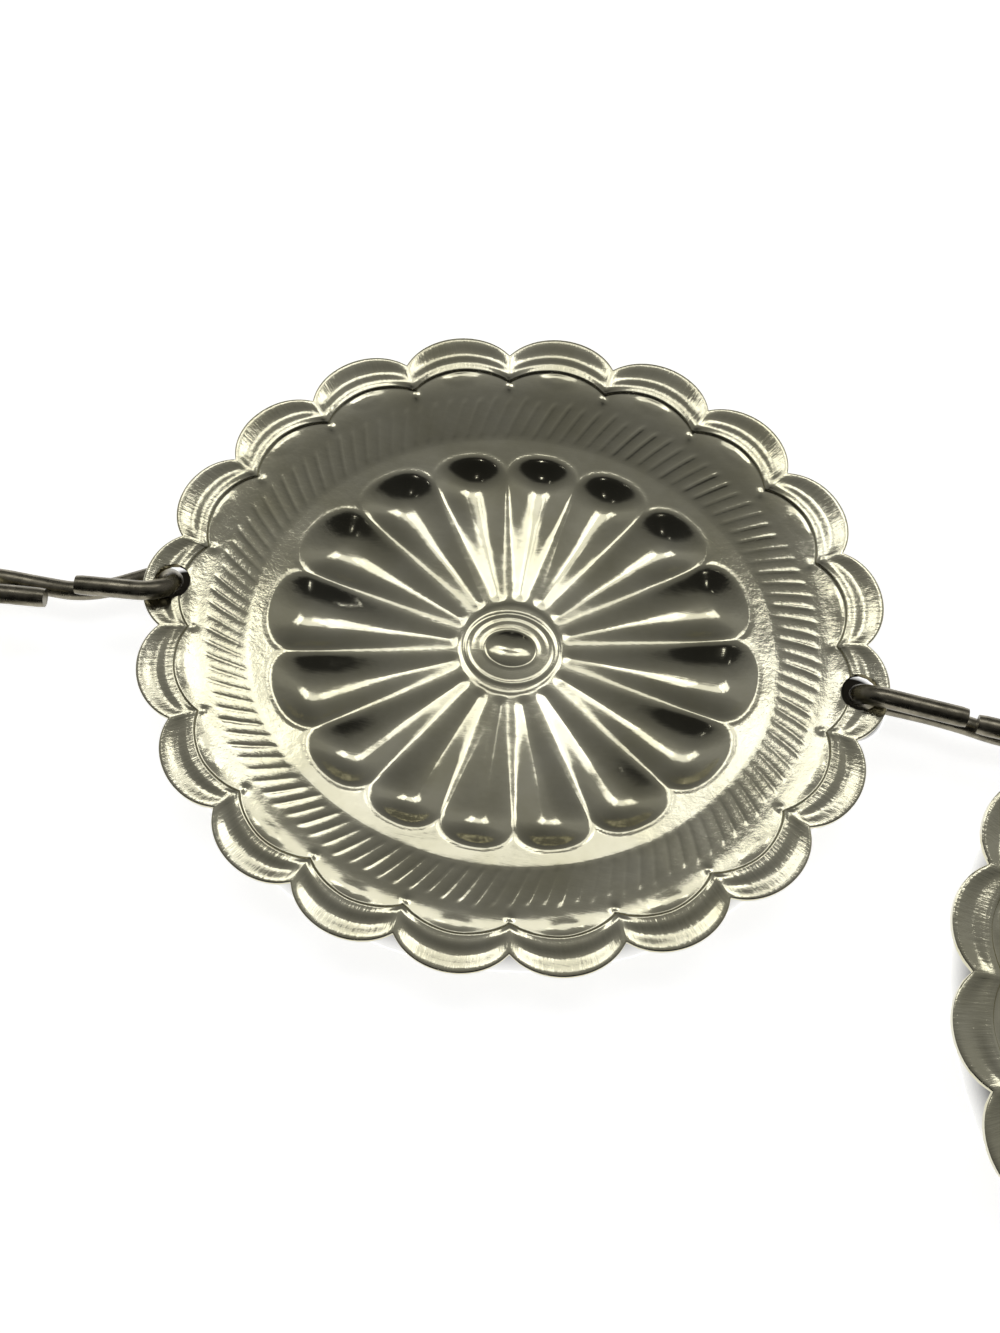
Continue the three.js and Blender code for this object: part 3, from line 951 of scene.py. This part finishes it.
def build_belt():
    """Lays a stamped sheet over each concho's solid, and a wire over each link and the hook."""
    silver = concho_material()
    wire = wire_material()
    names = [f"concho_{k:02d}" for k in range(1, CONCHO_COUNT + 1)]
    places = [node_place(name) for name in names]
    plain_mesh = concho_mesh("concho_plain", "plain", seed=11)
    fine_mesh = concho_mesh("concho_fine", "fine", seed=4)
    mark_rings(plain_mesh)
    mark_rings(fine_mesh)
    for k, (name, (middle, along)) in enumerate(zip(names, places), start=1):
        mesh = fine_mesh if k == PHOTOGRAPHED else plain_mesh
        matrix = placed(middle[0], middle[1], RIM_TOP, math.atan2(along[1], along[0]))
        add_piece(f"stamped_{name}", mesh, silver, matrix, name)
    plain_link = wire_mesh("link_plain", link_path(LINK_PITCH, LINK_ROWS["plain"]), seed=3)
    for k in range(1, CONCHO_COUNT + 1):
        start_middle, start_along = places[k - 1]
        end_middle, end_along = places[k % CONCHO_COUNT]
        start = start_middle + start_along * HOLE_X
        end = end_middle - end_along * HOLE_X
        heading = math.atan2(end[1] - start[1], end[0] - start[0])
        pitch = float(np.hypot(*(end - start)))
        row = LINK_ROWS.get(k, LINK_ROWS["plain"])
        lean = math.radians(row["lean"])
        height = RIM_TOP - SHEET / 2 - LINK_DROP * math.cos(lean)
        matrix = placed(start[0], start[1], height, heading, lean)
        if k == CONCHO_COUNT:
            mesh = wire_mesh("hook", hook_path(pitch), seed=8)
            add_piece("bent_hook", mesh, wire, matrix, "hook_clasp")
            continue
        mesh = plain_link
        if k in LINK_ROWS:
            mesh = wire_mesh(f"link_shape_{k:02d}", link_path(pitch, row), seed=k)
        add_piece(f"bent_link_{k:02d}", mesh, wire, matrix, f"link_{k:02d}")
    return places


def add_camera(middle):
    """Camera at the photo's angle: 18 degrees off the vertical, 150 mm from the concho."""
    camera = bpy.data.cameras.new("photo_camera")
    camera.sensor_fit = "HORIZONTAL"
    camera.sensor_width = SENSOR_WIDTH
    camera.lens = FOCAL_LENGTH
    camera.clip_start = CLIP_START * MM
    camera.clip_end = CLIP_END * MM
    item = bpy.data.objects.new("photo_camera", camera)
    bpy.context.scene.collection.objects.link(item)
    back = Vector(CAMERA_BACK)
    up = back.cross(Vector(CAMERA_RIGHT)).normalized()
    right = up.cross(back).normalized()
    position = (Vector((middle[0], middle[1], RIM_TOP)) + Vector(CAMERA_OFFSET)) * MM
    item.matrix_world = Matrix((
        (right.x, up.x, back.x, position.x),
        (right.y, up.y, back.y, position.y),
        (right.z, up.z, back.z, position.z),
        (0.0, 0.0, 0.0, 1.0),
    ))
    bpy.context.scene.camera = item


def add_panels():
    """Soft panels and lamps that all face one middle."""
    for name, across, along, width, height, brightness in PANEL_ROWS:
        lean = (math.tan(math.radians(across)), math.tan(math.radians(along)), 1.0)
        out = Vector(lean).normalized()
        light = bpy.data.lights.new(name, "AREA")
        light.shape = "RECTANGLE"
        light.size = 2 * PANEL_DISTANCE * math.tan(math.radians(width / 2))
        light.size_y = 2 * PANEL_DISTANCE * math.tan(math.radians(height / 2))
        light.energy = brightness * light.size * light.size_y
        item = bpy.data.objects.new(name, light)
        bpy.context.scene.collection.objects.link(item)
        item.location = Vector(PANEL_MIDDLE) + out * PANEL_DISTANCE
        item.rotation_euler = out.to_track_quat("Z", "Y").to_euler()


def add_world():
    """Surroundings that light the belt by WORLD_STOPS and show as plain white."""
    world = bpy.data.worlds.new("studio")
    world.use_nodes = True
    bpy.context.scene.world = world
    tree = world.node_tree
    background = tree.nodes["Background"]
    place = tree.nodes.new("ShaderNodeTexCoord")
    split = tree.nodes.new("ShaderNodeSeparateXYZ")
    tree.links.new(place.outputs["Generated"], split.inputs["Vector"])
    shade = tree.nodes.new("ShaderNodeMapRange")
    shade.inputs["From Min"].default_value = -1.0
    tree.links.new(split.outputs["Y"], shade.inputs["Value"])
    colour = tree.nodes.new("ShaderNodeValToRGB")
    elements = colour.color_ramp.elements
    while len(elements) < len(WORLD_STOPS):
        elements.new(0.5)
    for element, (position, value) in zip(elements, WORLD_STOPS):
        element.position = position
        element.color = (value, value, value, 1.0)
    tree.links.new(shade.outputs["Result"], colour.inputs["Fac"])
    tree.links.new(colour.outputs["Color"], background.inputs["Color"])
    background.inputs["Strength"].default_value = 1.0
    seen = tree.nodes.new("ShaderNodeLightPath")
    white = tree.nodes.new("ShaderNodeBackground")
    white.inputs["Strength"].default_value = 1.0
    white.inputs["Color"].default_value = (1.0, 1.0, 1.0, 1.0)
    mix = tree.nodes.new("ShaderNodeMixShader")
    tree.links.new(seen.outputs["Is Camera Ray"], mix.inputs["Fac"])
    tree.links.new(background.outputs["Background"], mix.inputs[1])
    tree.links.new(white.outputs["Background"], mix.inputs[2])
    tree.links.new(mix.outputs["Shader"], tree.nodes["World Output"].inputs["Surface"])


def shaded_ovals(places):
    """Dark ovals of painted shadow below the conchos: points, faces and how open to the light each
    point is.
    """
    points = []
    faces = []
    open_share = []
    turns = np.arange(SHADE_TURNS) * 2 * math.pi / SHADE_TURNS
    for k, (middle, along) in enumerate(places, start=1):
        aside = np.array([-along[1], along[0]])
        ovals = [(0.0, CONCHO_SHADE)]
        if k == PHOTOGRAPHED:
            ovals += [(-HOLE_X, HOLE_SHADE), (HOLE_X, HOLE_SHADE)]
        for shift, shade in ovals:
            first = len(points)
            for more, value in ((shade["border"], 1.0), (0.0, 0.0)):
                oval = middle + shift * along
                oval = oval + np.outer((shade["half_length"] + more) * np.cos(turns), along)
                oval = oval + np.outer((shade["half_width"] + more) * np.sin(turns), aside)
                points += [(x * MM, y * MM, shade["z"] * MM) for x, y in oval]
                open_share += [value] * SHADE_TURNS
            inner = first + SHADE_TURNS
            for j in range(SHADE_TURNS):
                after = (j + 1) % SHADE_TURNS
                faces.append((first + j, first + after, inner + after, inner + j))
            faces.append(tuple(range(inner, inner + SHADE_TURNS)))
    return points, faces, open_share


def add_floor(places):
    """Plain white light table, with painted shadow below the conchos."""
    signs = ((-1, -1), (1, -1), (1, 1), (-1, 1))
    points = [(x * FLOOR_HALF * MM, y * FLOOR_HALF * MM, FLOOR_Z * MM) for x, y in signs]
    oval_points, oval_faces, oval_open = shaded_ovals(places)
    faces = [(0, 1, 2, 3)] + [tuple(v + 4 for v in face) for face in oval_faces]
    mesh = bpy.data.meshes.new("floor")
    mesh.from_pydata(points + oval_points, [], faces)
    layer = mesh.attributes.new("open_share", "FLOAT", "POINT")
    layer.data.foreach_set("value", [1.0] * 4 + oval_open)
    floor = bpy.data.objects.new("floor", mesh)
    bpy.context.scene.collection.objects.link(floor)
    material, tree, shader, _ = new_material("floor", 0.0)
    shader.inputs["Roughness"].default_value = 0.9
    shader.inputs["Emission Strength"].default_value = FLOOR_GLOW
    # Painted shadow: the floor turns dark and stops glowing where open_share falls to 0
    is_open = attribute(tree, "open_share", "Fac")
    base = ramp(tree, is_open, (SHADE_COLOUR, FLOOR_COLOUR))
    tree.links.new(base, shader.inputs["Base Color"])
    tree.links.new(grey_ramp(tree, is_open, (0.0, 1.0)), shader.inputs["Emission Color"])
    mesh.materials.append(material)


concho_places = build_belt()
add_camera(concho_places[PHOTOGRAPHED - 1][0])
add_panels()
add_world()
add_floor(concho_places)
bpy.context.scene.view_settings.view_transform = "Standard"
